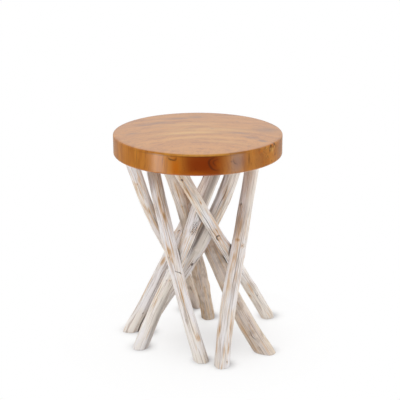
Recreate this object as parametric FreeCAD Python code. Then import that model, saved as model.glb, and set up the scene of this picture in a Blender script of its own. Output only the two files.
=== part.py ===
import FreeCAD, Part
import math
import os
from dataclasses import dataclass, field

from FreeCAD import Vector

# Round side table: one thick round slab of teak on ten crossing branch legs.
# Millimetres, +Z up, origin on the floor under the middle of the slab, front towards -Y.
# Every leg is a natural branch: it sways, swells, twists and keeps a few cut-off twigs.
# A leg that meets one already standing is coped to bed against it, and a hidden peg ties the two.
# A longer hidden peg along each leg's own line ties its top to the slab.

# Slab: its edges are eased in flats, and its rim is a little fuller in the middle
TABLE_HEIGHT = 520.0
SLAB_RADIUS = 200.0
SLAB_THICKNESS = 49.0
SLAB_TOP_ROUND = 4.0
SLAB_LOW_ROUND = 4.0
SLAB_RIM_CROWN = 1.5
ROUND_FLATS = 3

# Circle that the feet's places are shares of
STANCE_RADIUS = 180.0

# Mean thickness of each branch
FRONT_LEG_THICKNESS = 32.0
FRONT_RIGHT_LEG_THICKNESS = 37.0
RIGHT_LEG_THICKNESS = 35.0
BACK_RIGHT_LEG_THICKNESS = 29.5
INNER_BACK_LEG_THICKNESS = 31.0
BACK_LEG_THICKNESS = 28.0
BACK_LEFT_LEG_THICKNESS = 28.0
LEFT_LEG_THICKNESS = 30.0
INNER_LEFT_LEG_THICKNESS = 33.0
FRONT_LEFT_LEG_THICKNESS = 35.0

# Stumps of cut-off twigs: width at the root, under the bark, and at the saw cut, above it
TWIG_ROOT_WIDTH = 24.0
TWIG_CUT_WIDTH = 11.0
TWIG_ROOT_DEPTH = 6.0
TWIG_HEIGHT = 3.0

# Whittled eight-sided pegs, driven tight, so that a hole has its peg's shape
PEG_SIDES = 8
CROSSING_PEG_WIDTH = 8.0
CROSSING_PEG_LENGTH = 26.0
TOP_PEG_WIDTH = 12.0
TOP_PEG_LENGTH = 50.0
GLUE_GAP = 0.05

# How deep a leg is let into the one that it leans on
SEAT_DEPTH = 4.0

# Stations down a leg, as shares of its drop from the slab to the floor, and sections in its loft
DOWN_SHARES = (-0.06, 0.12, 0.25, 0.40, 0.55, 0.70, 0.85, 1.06)
LOFT_SECTIONS = 13

# Section of a branch: corners round it, how far it is oval and fluted, and its twist from top to foot
RING_CORNERS = 24
OVAL_SHARE = 0.045
FLUTES = 5
FLUTE_SHARE = 0.025
TWIST_DEGREES = 60.0

# Rounds of bowing a leg until it beds
LEAN_ROUNDS = 12

UNDERSIDE = TABLE_HEIGHT - SLAB_THICKNESS


@dataclass
class Leg:
    """One branch leg, seen from the front: +X right, +Y away.

    The top's place is in shares of the slab's radius and the foot's in shares of the stance.
    At each station, sway is the branch's shift to the right in shares of its thickness, and girth
    is its thickness in shares of the mean. Twigs are pairs of a share down and a bearing in degrees.
    The branch bows to the back or front until it beds against the one that it leans on.
    """

    name: str
    thickness: float
    top_share: tuple
    foot_share: tuple
    sway_shares: tuple
    girth_shares: tuple
    turn_degrees: float
    leans_on: str = ""
    behind: bool = True
    twig_shares: tuple = ()
    bow: float = 0.0
    top: Vector = field(init=False)
    foot: Vector = field(init=False)

    def __post_init__(self):
        """Place the top on the slab's underside and the foot on the floor."""
        top_x, top_y = self.top_share
        foot_x, foot_y = self.foot_share
        self.top = Vector(top_x * SLAB_RADIUS, top_y * SLAB_RADIUS, UNDERSIDE)
        self.foot = Vector(foot_x * STANCE_RADIUS, foot_y * STANCE_RADIUS, 0)

    def axis(self):
        """Return the middle line as a smooth curve, whose parameter is the share down the leg."""
        points = []
        for down, sway in zip(DOWN_SHARES, self.sway_shares):
            straight = self.top + (self.foot - self.top) * down
            points.append(straight + Vector(sway * self.thickness, self.bow * bow_share(down), 0))
        curve = Part.BSplineCurve()
        curve.interpolate(Points=points, Parameters=list(DOWN_SHARES))
        return curve

    def half_at(self, down):
        """Return half the branch's thickness at a share down the leg."""
        rows = list(zip(DOWN_SHARES, self.girth_shares))
        for (start, girth), (end, next_girth) in zip(rows, rows[1:]):
            if down <= end:
                break
        share = girth + (next_girth - girth) * (down - start) / (end - start)
        return self.thickness / 2 * share


def bow_share(down):
    """Return how much of a leg's bow shows at a share down it: all at the middle, none at the ends."""
    return 4 * down * (1 - down)


# Legs in the order in which they are fitted: each leans on one that already stands
LEGS = (
    Leg(
        name="back_right_leg",
        thickness=BACK_RIGHT_LEG_THICKNESS,
        top_share=(-0.20, -0.75),
        foot_share=(0.98, 0.61),
        sway_shares=(0.00, -0.08, -0.09, -0.09, 0.00, 0.07, 0.12, 0.02),
        girth_shares=(0.98, 0.99, 0.97, 0.96, 1.00, 1.06, 1.09, 1.10),
        turn_degrees=20,
    ),
    Leg(
        name="front_left_leg",
        thickness=FRONT_LEFT_LEG_THICKNESS,
        top_share=(0.235, -0.28),
        foot_share=(-0.77, -0.43),
        sway_shares=(0.04, 0.04, 0.08, 0.22, 0.25, 0.05, -0.03, 0.00),
        girth_shares=(1.12, 1.11, 1.10, 1.01, 0.98, 0.97, 1.00, 1.04),
        turn_degrees=75,
        leans_on="back_right_leg",
        twig_shares=((0.60, 140),),
    ),
    Leg(
        name="front_leg",
        thickness=FRONT_LEG_THICKNESS,
        top_share=(-0.565, -0.07),
        foot_share=(0.045, -0.84),
        sway_shares=(0.01, -0.11, -0.16, -0.20, -0.20, -0.19, -0.10, 0.06),
        girth_shares=(0.98, 0.98, 0.97, 0.97, 0.96, 0.94, 0.97, 1.05),
        turn_degrees=130,
        leans_on="front_left_leg",
        behind=False,
    ),
    Leg(
        name="inner_left_leg",
        thickness=INNER_LEFT_LEG_THICKNESS,
        top_share=(0.45, -0.33),
        foot_share=(-0.72, 0.045),
        sway_shares=(-0.07, 0.31, 0.55, 0.60, 0.61, 0.30, -0.05, 0.05),
        girth_shares=(1.02, 1.03, 1.07, 1.03, 1.00, 0.97, 0.97, 1.00),
        turn_degrees=0,
        leans_on="back_right_leg",
        twig_shares=((0.50, 250),),
    ),
    Leg(
        name="inner_back_leg",
        thickness=INNER_BACK_LEG_THICKNESS,
        top_share=(-0.365, -0.48),
        foot_share=(0.145, 0.58),
        sway_shares=(-0.12, 0.20, 0.30, 0.32, 0.33, 0.28, 0.20, -0.08),
        girth_shares=(0.90, 0.90, 0.93, 1.00, 1.10, 1.25, 1.07, 1.18),
        turn_degrees=45,
        leans_on="inner_left_leg",
    ),
    Leg(
        name="left_leg",
        thickness=LEFT_LEG_THICKNESS,
        top_share=(0.29, -0.04),
        foot_share=(-0.92, 0.13),
        sway_shares=(0.00, 0.00, 0.00, -0.02, -0.03, -0.03, -0.06, -0.01),
        girth_shares=(1.00, 1.00, 0.98, 1.00, 1.00, 1.02, 1.05, 1.22),
        turn_degrees=100,
        leans_on="inner_back_leg",
    ),
    Leg(
        name="right_leg",
        thickness=RIGHT_LEG_THICKNESS,
        top_share=(-0.44, 0.50),
        foot_share=(0.91, -0.55),
        sway_shares=(0.04, -0.10, -0.20, -0.30, -0.34, -0.45, -0.40, 0.08),
        girth_shares=(1.00, 0.98, 1.00, 1.00, 1.02, 1.00, 1.18, 1.22),
        turn_degrees=160,
        leans_on="left_leg",
    ),
    Leg(
        name="back_leg",
        thickness=BACK_LEG_THICKNESS,
        top_share=(-0.755, -0.46),
        foot_share=(-0.02, 0.96),
        sway_shares=(0.13, -0.155, -0.28, -0.27, -0.10, 0.16, 0.20, -0.08),
        girth_shares=(1.06, 1.05, 1.02, 1.00, 0.97, 1.04, 0.89, 0.86),
        turn_degrees=30,
        leans_on="left_leg",
    ),
    Leg(
        name="back_left_leg",
        thickness=BACK_LEFT_LEG_THICKNESS,
        top_share=(-0.60, 0.13),
        foot_share=(-0.18, 0.84),
        sway_shares=(0.00, -0.04, -0.06, -0.08, -0.08, -0.06, -0.04, 0.02),
        girth_shares=(1.00, 1.02, 1.00, 1.00, 0.98, 0.96, 0.96, 0.98),
        turn_degrees=80,
        leans_on="back_leg",
    ),
    Leg(
        name="front_right_leg",
        thickness=FRONT_RIGHT_LEG_THICKNESS,
        top_share=(0.71, 0.48),
        foot_share=(0.315, -0.970),
        sway_shares=(0.08, 0.005, -0.015, -0.06, -0.105, -0.145, -0.12, 0.10),
        girth_shares=(0.93, 0.95, 0.96, 0.99, 1.04, 1.05, 1.03, 0.98),
        turn_degrees=55,
        leans_on="back_right_leg",
        behind=False,
        twig_shares=((0.475, 302),),
    ),
)


def crossing(leg, other):
    """Return how far apart two legs' middle lines pass, and the nearest point on each."""
    apart, pairs, _ = leg.axis().toShape().distToShape(other.axis().toShape())
    here, there = pairs[0]
    return apart, here, there


def halves_at(leg, other, here, there):
    """Return half of each leg's thickness where the two cross."""
    mine = leg.half_at(leg.axis().parameter(here))
    theirs = other.half_at(other.axis().parameter(there))
    return mine, theirs


def lean(leg, other):
    """Bow a leg to the back or front until it is let into the other by the seat's depth."""
    side = 1 if leg.behind else -1
    for _ in range(LEAN_ROUNDS):
        apart, here, there = crossing(leg, other)
        wanted = sum(halves_at(leg, other, here, there)) - SEAT_DEPTH
        ahead = side * (here.y - there.y)
        reached = math.copysign(apart, ahead)
        leg.bow += side * (wanted - reached) / bow_share(leg.axis().parameter(here))


def ring(leg, curve, down):
    """Return the branch's closed outline at a share down it, square to its middle line."""
    centre = curve.value(down)
    along = curve.tangent(down)[0]
    across = along.cross(Vector(1, 0, 0)).normalize()
    side = across.cross(along)
    turn = math.radians(leg.turn_degrees + TWIST_DEGREES * down)
    half = leg.half_at(down)
    corners = []
    for k in range(RING_CORNERS + 1):
        angle = 2 * math.pi * k / RING_CORNERS
        oval = OVAL_SHARE * math.cos(2 * (angle - turn))
        flute = FLUTE_SHARE * math.cos(FLUTES * (angle - turn))
        reach = half * (1 + oval + flute)
        corners.append(centre + (side * math.cos(angle) + across * math.sin(angle)) * reach)
    return Part.makePolygon(corners)


def whittled(start, end, start_width, end_width):
    """Return an eight-sided stick between two points, tapered from one width to the other."""
    along = (end - start).normalize()
    across = along.cross(Vector(1, 0, 0)).normalize()
    side = across.cross(along)
    ends = []
    for centre, width in ((start, start_width), (end, end_width)):
        corners = []
        for k in range(PEG_SIDES + 1):
            angle = 2 * math.pi * k / PEG_SIDES
            corners.append(centre + (side * math.cos(angle) + across * math.sin(angle)) * (width / 2))
        ends.append(Part.makePolygon(corners))
    return Part.makeLoft(ends, True, True)


def twig(leg, curve, down, bearing_degrees):
    """Return the stump of a cut-off twig, from inside the branch out past its bark."""
    bearing = math.radians(bearing_degrees)
    outward = Vector(math.cos(bearing), math.sin(bearing), 0)
    bark = curve.value(down) + outward * leg.half_at(down)
    root = bark - outward * TWIG_ROOT_DEPTH
    return whittled(root, bark + outward * TWIG_HEIGHT, TWIG_ROOT_WIDTH, TWIG_CUT_WIDTH)


def largest(shape):
    """Return the biggest solid of a cut shape."""
    return max(shape.Solids, key=lambda solid: solid.Volume)


def branch(leg):
    """Return a whole branch with its twigs, sawn level at the floor and under the slab."""
    curve = leg.axis()
    first, last = DOWN_SHARES[0], DOWN_SHARES[-1]
    downs = [first + (last - first) * k / (LOFT_SECTIONS - 1) for k in range(LOFT_SECTIONS)]
    solid = Part.makeLoft([ring(leg, curve, down) for down in downs], True, True)
    for down, bearing in leg.twig_shares:
        solid = solid.fuse(twig(leg, curve, down, bearing))
    reach = SLAB_RADIUS + STANCE_RADIUS
    room = Part.makeBox(2 * reach, 2 * reach, UNDERSIDE, Vector(-reach, -reach, 0))
    return largest(solid.common(room))


def peg(middle, along, length, width):
    """Return a peg and the hole that it fills, about the middle of its length."""
    reach = along * (length / 2)
    room = along * (length / 2 + GLUE_GAP)
    stick = whittled(middle - reach, middle + reach, width, width)
    hole = whittled(middle - room, middle + room, width + 2 * GLUE_GAP, width + 2 * GLUE_GAP)
    return stick, hole


def crossing_peg(leg, other):
    """Return the peg that ties a leg to the one that it leans on, and its hole."""
    _, here, there = crossing(leg, other)
    mine, theirs = halves_at(leg, other, here, there)
    along = (there - here).normalize()
    seat = here + along * (mine - SEAT_DEPTH * mine / (mine + theirs))
    return peg(seat, along, CROSSING_PEG_LENGTH, CROSSING_PEG_WIDTH)


def top_peg(leg):
    """Return the peg that ties a leg's top to the slab, and its hole."""
    curve = leg.axis()
    return peg(curve.value(0), curve.tangent(0)[0], TOP_PEG_LENGTH, TOP_PEG_WIDTH)


def eased(corner_x, corner_z, size, upwards):
    """Return the points of an eased edge of the slab's profile, from below to above."""
    points = []
    for k in range(ROUND_FLATS + 1):
        angle = math.pi / 2 * k / ROUND_FLATS
        if upwards:
            inset, drop = size * (1 - math.cos(angle)), size * (1 - math.sin(angle))
            points.append(Vector(corner_x - inset, 0, corner_z - drop))
        else:
            inset, rise = size * (1 - math.sin(angle)), size * (1 - math.cos(angle))
            points.append(Vector(corner_x - inset, 0, corner_z + rise))
    return points


def slab():
    """Return the round slab, turned from its profile."""
    rim = SLAB_RADIUS - SLAB_RIM_CROWN
    low = eased(rim, UNDERSIDE, SLAB_LOW_ROUND, False)
    high = eased(rim, TABLE_HEIGHT, SLAB_TOP_ROUND, True)
    crown = Vector(SLAB_RADIUS, 0, (low[-1].z + high[0].z) / 2)
    middles = [Vector(0, 0, TABLE_HEIGHT), Vector(0, 0, UNDERSIDE)]
    outline = low + [crown] + high + middles
    profile = Part.Face(Part.makePolygon(outline + outline[:1]))
    return profile.revolve(Vector(0, 0, 0), Vector(0, 0, 1), 360)


def build():
    """Return every node's shape by name."""
    legs = {leg.name: leg for leg in LEGS}
    solids = {}
    for leg in LEGS:
        if leg.leans_on:
            lean(leg, legs[leg.leans_on])
        solid = branch(leg)
        for standing in solids.values():
            solid = largest(solid.cut(standing))
        solids[leg.name] = solid

    top = slab()
    crossing_pegs = []
    top_pegs = []
    for leg in LEGS:
        if leg.leans_on:
            stick, hole = crossing_peg(leg, legs[leg.leans_on])
            crossing_pegs.append(stick)
            solids[leg.name] = solids[leg.name].cut(hole)
            solids[leg.leans_on] = solids[leg.leans_on].cut(hole)
        stick, hole = top_peg(leg)
        top_pegs.append(stick)
        solids[leg.name] = solids[leg.name].cut(hole)
        top = top.cut(hole)

    solids["slab"] = largest(top)
    solids["crossing_pegs"] = Part.makeCompound(crossing_pegs)
    solids["top_pegs"] = Part.makeCompound(top_pegs)
    return solids


os.makedirs("parts", exist_ok=True)
for node, shape in build().items():
    shape.exportStep("parts/" + node + ".step")
    print(node, "solids", len(shape.Solids), "volume", round(shape.Volume), "valid", shape.isValid())
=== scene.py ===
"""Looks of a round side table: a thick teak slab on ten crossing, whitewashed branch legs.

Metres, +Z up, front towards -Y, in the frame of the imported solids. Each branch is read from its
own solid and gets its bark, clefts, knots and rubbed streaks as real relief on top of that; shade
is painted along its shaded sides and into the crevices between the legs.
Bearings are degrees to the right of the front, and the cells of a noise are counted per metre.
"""

from __future__ import annotations

import logging
import math
import random
from dataclasses import dataclass, field
from enum import Enum
from typing import Union

import bmesh
import bpy
import numpy as np
from bpy.types import Material, Mesh, Node, NodeSocket, Object, World
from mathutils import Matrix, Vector, noise
from mathutils.bvhtree import BVHTree

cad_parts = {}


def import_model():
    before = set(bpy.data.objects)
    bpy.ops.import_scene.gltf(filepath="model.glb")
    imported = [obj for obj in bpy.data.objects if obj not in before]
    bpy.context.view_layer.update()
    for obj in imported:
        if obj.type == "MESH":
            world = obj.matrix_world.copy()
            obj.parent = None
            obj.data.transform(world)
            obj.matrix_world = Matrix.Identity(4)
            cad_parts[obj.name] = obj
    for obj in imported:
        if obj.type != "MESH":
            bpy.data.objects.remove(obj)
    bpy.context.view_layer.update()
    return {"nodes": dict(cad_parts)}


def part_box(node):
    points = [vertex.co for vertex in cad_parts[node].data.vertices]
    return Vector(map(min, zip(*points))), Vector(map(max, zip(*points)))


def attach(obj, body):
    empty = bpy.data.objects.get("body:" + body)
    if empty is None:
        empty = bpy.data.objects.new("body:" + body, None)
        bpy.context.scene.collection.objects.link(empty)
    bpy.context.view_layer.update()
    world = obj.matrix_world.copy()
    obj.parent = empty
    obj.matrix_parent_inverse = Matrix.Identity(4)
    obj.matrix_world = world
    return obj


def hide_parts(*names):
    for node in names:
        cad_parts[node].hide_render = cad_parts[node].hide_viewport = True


LOG = logging.getLogger("side_table")
BODY = "root"
PITH = (0.02, -0.235)
WHITE = (1.0, 1.0, 1.0, 1.0)
NOISE_MIDDLE = 0.5
TINY = 1e-12

Colour = tuple[float, float, float, float]
Input = Union[NodeSocket, float, tuple]
Array = np.ndarray


def paint(red: int, green: int, blue: int) -> Colour:
    """Turn a colour as seen on a screen into the shader's linear colour.

    Args:
        red: Red, 0 to 255.
        green: Green, 0 to 255.
        blue: Blue, 0 to 255.

    Returns:
        The linear colour, opaque.
    """
    shares = [channel / 255 for channel in (red, green, blue)]
    linear = [s / 12.92 if s <= 0.04045 else ((s + 0.055) / 1.055) ** 2.4 for s in shares]
    return (linear[0], linear[1], linear[2], 1.0)


TEAK_BROWN = paint(150, 77, 16)
TEAK_AMBER = paint(188, 100, 2)
TEAK_DARK = paint(62, 32, 14)


@dataclass(frozen=True)
class Tint:
    """A colour that comes in as a level goes from its start to where it is full, up to a share."""

    colour: Colour
    start: float
    full: float
    share: float = 1.0


class NodeSheet:
    """The nodes of a material or a world, with one short call for each kind that the finishes need."""

    def __init__(self, owner: Material | World) -> None:
        """Start on the nodes of a new material or world."""
        owner.use_nodes = True
        self.owner = owner
        self.nodes = owner.node_tree.nodes
        self.links = owner.node_tree.links

    @classmethod
    def for_finish(cls, name: str) -> NodeSheet:
        """Return the sheet of a new material of this name."""
        return cls(bpy.data.materials.new(name))

    def dress(self, inputs: dict) -> Material:
        """Set the shader's own sockets.

        Args:
            inputs: Values or sockets by the name of the shader's input.

        Returns:
            The material.
        """
        shader = self.nodes["Principled BSDF"]
        for key, value in inputs.items():
            self.feed(shader.inputs[key], value)
        return self.owner

    def feed(self, socket: NodeSocket, value: Input) -> None:
        """Link a socket to another one, or set its own value."""
        if isinstance(value, NodeSocket):
            self.links.new(value, socket)
        else:
            socket.default_value = value

    def node(self, kind: str, inputs: dict, **settings: object) -> Node:
        """Add one node.

        Args:
            kind: Blender's name for the node's type.
            inputs: Values or sockets by the name or number of the node's input.
            **settings: The node's own settings.

        Returns:
            The node.
        """
        made = self.nodes.new(kind)
        for key, value in settings.items():
            setattr(made, key, value)
        for key, value in inputs.items():
            self.feed(made.inputs[key], value)
        return made

    def attribute(self, name: str, output: str = "Fac") -> NodeSocket:
        """Return the number, or the place, that each point of the mesh carries under this name."""
        return self.node("ShaderNodeAttribute", {}, attribute_name=name).outputs[output]

    def here(self) -> NodeSocket:
        """Return the point's place in the object's own frame."""
        return self.node("ShaderNodeTexCoord", {}).outputs["Object"]

    def stretch(self, place: Input, factors: tuple) -> NodeSocket:
        """Return a place scaled by its own factor along each axis."""
        return self.node("ShaderNodeVectorMath", {0: place, 1: factors}, operation="MULTIPLY").outputs[0]

    def shift(self, place: Input, step: Input) -> NodeSocket:
        """Return a place moved by a step."""
        return self.node("ShaderNodeVectorMath", {0: place, 1: step}, operation="ADD").outputs[0]

    def length(self, place: Input) -> NodeSocket:
        """Return a place's distance from the origin."""
        return self.node("ShaderNodeVectorMath", {0: place}, operation="LENGTH").outputs["Value"]

    def parts(self, place: Input) -> tuple:
        """Return a place's X, Y and Z."""
        return tuple(self.node("ShaderNodeSeparateXYZ", {0: place}).outputs)

    def joined(self, x: Input, y: Input, z: Input) -> NodeSocket:
        """Return the place with this X, Y and Z."""
        return self.node("ShaderNodeCombineXYZ", {0: x, 1: y, 2: z}).outputs[0]

    def clouds(self, place: Input, cells: tuple, detail: float = 2.0, output: str = "Fac") -> NodeSocket:
        """Return noise with its own number of cells along each axis."""
        inputs = {"Vector": self.stretch(place, cells), "Scale": 1.0, "Detail": detail}
        return self.node("ShaderNodeTexNoise", inputs | {"Roughness": 0.55}).outputs[output]

    def bands(self, distance: Input) -> NodeSocket:
        """Return uneven bands along a distance, at one band per unit."""
        inputs = {"W": distance, "Scale": 1.0, "Detail": 2.0}
        return self.node("ShaderNodeTexNoise", inputs, noise_dimensions="1D").outputs["Fac"]

    def maths(self, operation: str, first: Input, second: Input) -> NodeSocket:
        """Return a sum, product or other combination of two numbers."""
        return self.node("ShaderNodeMath", {0: first, 1: second}, operation=operation).outputs[0]

    def times(self, first: Input, second: Input) -> NodeSocket:
        """Return the product of two numbers."""
        return self.maths("MULTIPLY", first, second)

    def plus(self, first: Input, second: Input) -> NodeSocket:
        """Return the sum of two numbers."""
        return self.maths("ADD", first, second)

    def between(self, value: Input, low: float, high: float, top: float = 1.0) -> NodeSocket:
        """Return 0 where a value is below low, top where it is above high, and a soft step between."""
        inputs = {"Value": value, "From Min": low, "From Max": high, "To Min": 0.0, "To Max": top}
        return self.node("ShaderNodeMapRange", inputs, interpolation_type="SMOOTHSTEP").outputs["Result"]

    def part_way(self, share: Input, first: Input, second: Input) -> NodeSocket:
        """Return a number between two, by the share of the second."""
        return self.node("ShaderNodeMix", {0: share, 2: first, 3: second}, data_type="FLOAT").outputs[0]

    def mix(self, share: Input, first: Input, second: Input) -> NodeSocket:
        """Return a colour between two, by the share of the second."""
        return self.node("ShaderNodeMix", {0: share, 6: first, 7: second}, data_type="RGBA").outputs[2]

    def lay(self, under: Input, tint: Tint, level: Input, within: Input | None = None) -> NodeSocket:
        """Lay a tint over a colour.

        Args:
            under: The colour below.
            tint: The colour that is laid over it.
            level: The level that the tint follows.
            within: A mask that the tint keeps to, if it has one.

        Returns:
            Both colours as one.
        """
        share = self.between(level, tint.start, tint.full, tint.share)
        if within is not None:
            share = self.times(within, share)
        return self.mix(share, under, tint.colour)

    def bump(self, height: Input, distance: float, under: Input | None = None) -> NodeSocket:
        """Bend the surface's normal.

        Args:
            height: The height that the normal follows.
            distance: How tall a height of 1 is.
            under: The normal that is bent, if it isn't the surface's own.

        Returns:
            The bent normal.
        """
        inputs = {"Height": height, "Distance": distance, "Strength": 1.0}
        if under is not None:
            inputs["Normal"] = under
        return self.node("ShaderNodeBump", inputs).outputs["Normal"]


@dataclass(frozen=True)
class Whitewash:
    """Lime wash over weathered wood, thin along the grain and rubbed through in streaks."""

    cool: Colour = paint(240, 237, 238)
    warm: Tint = Tint(paint(240, 233, 224), 0.38, 0.62)
    beige: Tint = Tint(paint(210, 185, 152), 0.3, 0.6)
    stain: Tint = Tint(paint(152, 126, 100), 0.5, 0.68, 0.6)
    ash: Tint = Tint(paint(190, 174, 164), 0.5, 0.61, 0.8)
    tan: Tint = Tint(paint(212, 178, 140), 0.52, 0.63, 0.8)
    ochre: Tint = Tint(paint(184, 143, 98), 0.63, 0.8, 0.9)
    line: Tint = Tint(paint(140, 108, 84), 0.58, 0.7, 0.6)
    crack_and_shade: Tint = Tint(paint(78, 56, 44), 0.1, 0.9, 0.9)
    strand_cells: tuple = (250.0, 250.0, 9.0)
    hair_cells: tuple = (560.0, 560.0, 16.0)
    line_cells: tuple = (420.0, 420.0, 9.0)
    drift_cells: tuple = (34.0, 34.0, 7.0)
    patch_cells: tuple = (60.0, 60.0, 14.0)
    blot_cells: tuple = (70.0, 70.0, 42.0)
    patchiness: float = 0.3
    rub_levels: tuple = (0.4, 0.56)
    rub_shares: tuple = (0.08, 0.24)
    strand_height: float = 0.0014
    hair_height: float = 0.001
    roughness: float = 0.82
    specular: float = 0.25

    def material(self) -> Material:
        """Return the finish as a material that follows the branch's own grain."""
        sheet = NodeSheet.for_finish("whitewashed_branch")
        grain = sheet.attribute("grain", "Vector")
        strands = sheet.clouds(grain, self.strand_cells, detail=4.0)
        hairs = sheet.clouds(grain, self.hair_cells, detail=3.0)
        fine = sheet.times(sheet.plus(strands, hairs), 0.5)
        patches = sheet.plus(sheet.clouds(grain, self.patch_cells), -NOISE_MIDDLE)
        thinness = sheet.part_way(sheet.between(fine, *self.rub_levels), *self.rub_shares)
        # Below zero the wash lies thick and white; on a few shaded sides that is painted light.
        rubbed = sheet.times(sheet.attribute("rubbed"), thinness)
        worn = sheet.plus(sheet.plus(fine, sheet.times(patches, self.patchiness)), rubbed)
        grey = sheet.plus(sheet.maths("SUBTRACT", 1.0, fine), sheet.maths("MINIMUM", rubbed, 0.0))
        bare = sheet.attribute("bare")
        tone = sheet.lay(self.cool, self.warm, sheet.clouds(grain, self.drift_cells))
        tone = sheet.lay(tone, self.beige, fine, within=bare)
        tone = sheet.lay(tone, self.stain, sheet.clouds(grain, self.blot_cells), within=bare)
        tone = sheet.lay(tone, self.ash, grey)
        tone = sheet.lay(tone, self.tan, worn)
        tone = sheet.lay(tone, self.ochre, worn)
        tone = sheet.lay(tone, self.line, sheet.clouds(grain, self.line_cells))
        # Splits, knots and bark darken the wash here, and so does painted shade.
        tone = sheet.lay(tone, self.crack_and_shade, sheet.attribute("dark_wood_and_painted_shade"))
        ridges = sheet.bump(strands, self.strand_height)
        return sheet.dress({
            "Base Color": tone,
            "Normal": sheet.bump(hairs, self.hair_height, ridges),
            "Roughness": self.roughness,
            "Specular IOR Level": self.specular,
        })


class FigureKind(Enum):
    """What a patch of the slab's figure does to the wood: its value names the mesh's attribute."""

    SWIRL = "swirl"
    # Pale wood, and a highlight painted along the slab's eased front edge.
    PALE_AND_HIGHLIGHT = "pale"
    # Deep red-brown wood, and shade painted along the rim's bottom edge.
    DEEP_AND_SHADE = "deep"
    AMBER = "amber"
    # Dusky wood, and a sheen painted on the rim.
    DUSK_AND_SHEEN = "dusk"
    KNOT = "knot"


SWIRL, PALE_AND_HIGHLIGHT, DEEP_AND_SHADE, AMBER, DUSK_AND_SHEEN, KNOT = FigureKind


@dataclass(frozen=True)
class Teak:
    """Oiled teak whose growth rings stand upright round a pith just before the slab's front.

    The cells of streaks and lines count along a ring's radius, its turn in radians and the height.
    """

    honey: Colour = paint(203, 134, 48)
    band: Tint = Tint(TEAK_BROWN, 0.38, 0.66, 0.25)
    streak: Tint = Tint(TEAK_BROWN, 0.46, 0.7, 0.42)
    line: Tint = Tint(TEAK_BROWN, 0.52, 0.74, 0.36)
    pore: Tint = Tint(TEAK_DARK, 0.56, 0.74, 0.26)
    eye: Tint = Tint(TEAK_DARK, 0.56, 0.7, 0.5)
    glint: Tint = Tint(TEAK_AMBER, 0.46, 0.36, 0.7)
    figure: tuple = (
        (PALE_AND_HIGHLIGHT, paint(225, 174, 86)),
        (DEEP_AND_SHADE, paint(134, 52, 2)),
        (AMBER, TEAK_AMBER),
        (DUSK_AND_SHEEN, paint(112, 80, 70)),
    )
    figure_levels: tuple = (-0.2, 0.3)
    sway_cells: tuple = (6.0, 8.0, 8.0)
    sway: tuple = (0.05, 0.05, 0.03)
    curl_cells: tuple = (75.0, 75.0, 75.0)
    curl: float = 0.06
    lean: float = 0.12
    band_cells: float = 28.0
    streak_cells: tuple = (75.0, 5.0, 7.0)
    line_cells: tuple = (420.0, 24.0, 16.0)
    eye_cells: tuple = (85.0, 85.0, 95.0)
    line_height: float = 0.00018
    roughness: float = 0.28
    specular: float = 0.42
    coat: float = 0.22
    coat_roughness: float = 0.15

    def material(self) -> Material:
        """Return the finish as a solid wood that runs through the top and the rim alike."""
        sheet = NodeSheet.for_finish("oiled_teak")
        here = sheet.here()
        burl = sheet.attribute(SWIRL.value)
        sway = sheet.shift(sheet.clouds(here, self.sway_cells, output="Color"), (-NOISE_MIDDLE,) * 3)
        swayed = sheet.shift(here, sheet.stretch(sway, self.sway))
        x, y, z = sheet.parts(sheet.shift(swayed, (-PITH[0], -PITH[1], 0.0)))
        curl = sheet.plus(sheet.clouds(here, self.curl_cells), -NOISE_MIDDLE)
        ring = sheet.length(sheet.joined(x, y, sheet.times(z, self.lean)))
        ring = sheet.plus(ring, sheet.times(sheet.times(burl, self.curl), curl))
        grain = sheet.joined(ring, sheet.maths("ARCTAN2", x, y), z)
        streaks = sheet.clouds(grain, self.streak_cells, detail=3.0)
        lines = sheet.clouds(grain, self.line_cells, detail=3.0)
        eyes = sheet.clouds(here, self.eye_cells)
        tone = sheet.lay(self.honey, self.band, sheet.bands(sheet.times(ring, self.band_cells)))
        tone = sheet.lay(tone, self.streak, streaks)
        tone = sheet.lay(tone, self.line, lines)
        solid = sheet.between(streaks, *self.figure_levels)
        for kind, colour in self.figure:
            tone = sheet.mix(sheet.times(sheet.attribute(kind.value), solid), tone, colour)
        tone = sheet.lay(tone, self.eye, eyes, within=burl)
        tone = sheet.lay(tone, self.glint, eyes, within=burl)
        tone = sheet.lay(tone, self.pore, lines)
        tone = sheet.mix(sheet.attribute(KNOT.value), tone, TEAK_DARK)
        return sheet.dress({
            "Base Color": tone,
            "Normal": sheet.bump(lines, self.line_height),
            "Roughness": self.roughness,
            "Specular IOR Level": self.specular,
            "Coat Weight": self.coat,
            "Coat Roughness": self.coat_roughness,
        })


@dataclass(frozen=True)
class WhittledWood:
    """Bare pale wood of the hidden pegs, with knife-cut grain."""

    pale: Colour = paint(205, 172, 128)
    dark: Tint = Tint(paint(160, 120, 78), 0.4, 0.7)
    cells: tuple = (600.0, 600.0, 60.0)
    height: float = 0.0003
    roughness: float = 0.75

    def material(self) -> Material:
        """Return the finish as a material."""
        sheet = NodeSheet.for_finish("whittled_wood")
        grain = sheet.clouds(sheet.here(), self.cells, detail=4.0)
        return sheet.dress({
            "Base Color": sheet.lay(self.pale, self.dark, grain),
            "Normal": sheet.bump(grain, self.height),
            "Roughness": self.roughness,
        })


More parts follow.
